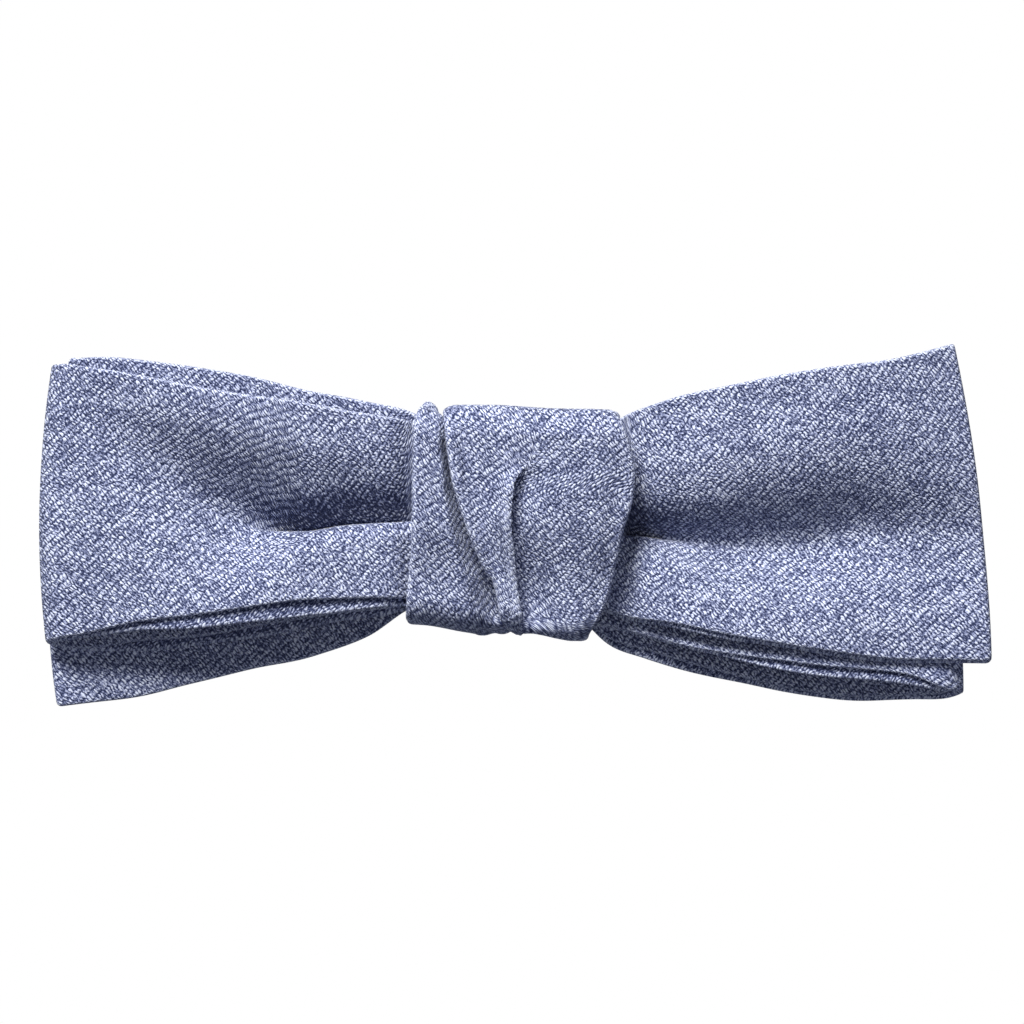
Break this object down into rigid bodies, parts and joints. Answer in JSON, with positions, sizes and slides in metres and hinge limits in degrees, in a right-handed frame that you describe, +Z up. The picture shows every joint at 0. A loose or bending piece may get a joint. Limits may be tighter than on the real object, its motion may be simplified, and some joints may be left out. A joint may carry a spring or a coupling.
{
  "type": "bow tie",
  "caption": "Clip-on bow tie with a hand-tied look: folded cloth wings, a wrapped knot and a sprung steel collar clip at the back.",
  "frame": {"origin": "centre of the clip's base plate, on the face that bears on the shirt collar", "axes": "+X across the bow, towards its square front end; +Y from the front of the bow towards the wearer; +Z up"},
  "size_m": [0.1204, 0.0237, 0.0454],
  "materials": {
    "bow_cloth": "matte heathered twill",
    "interlining": "matte canvas",
    "thread": "soft sheen",
    "tape": "matte ribbed",
    "clip_steel": "nickel plated",
    "wire_steel": "drawn",
    "jaw_vinyl": "soft matte"
  },
  "bodies": {
    "root": {"front_strip": "bow_cloth", "front_interlining": "interlining", "rear_strip": "bow_cloth", "rear_interlining": "interlining", "waist_thread": "thread", "knot_inner_turn": "bow_cloth", "knot_outer_turn": "bow_cloth", "knot_stitches": "thread", "clip_tape": "tape", "clip_base": "clip_steel", "clip_pin": "wire_steel", "clip_spring": "wire_steel", "clip_jaw_pad": "jaw_vinyl", "clip_stitches": "thread"},
    "lever": {"clip_lever": "clip_steel"}
  },
  "joints": [
    {"name": "clip_hinge", "type": "hinge", "parent": "root", "child": "lever", "pos_m": [0, 0.0034, 0.0025], "axis": [1, 0, 0], "range_deg": [0, 25], "stiffness_Nm_per_rad": 0.05, "springref_deg": -45.84, "deforming": ["clip_spring"]}
  ]
}
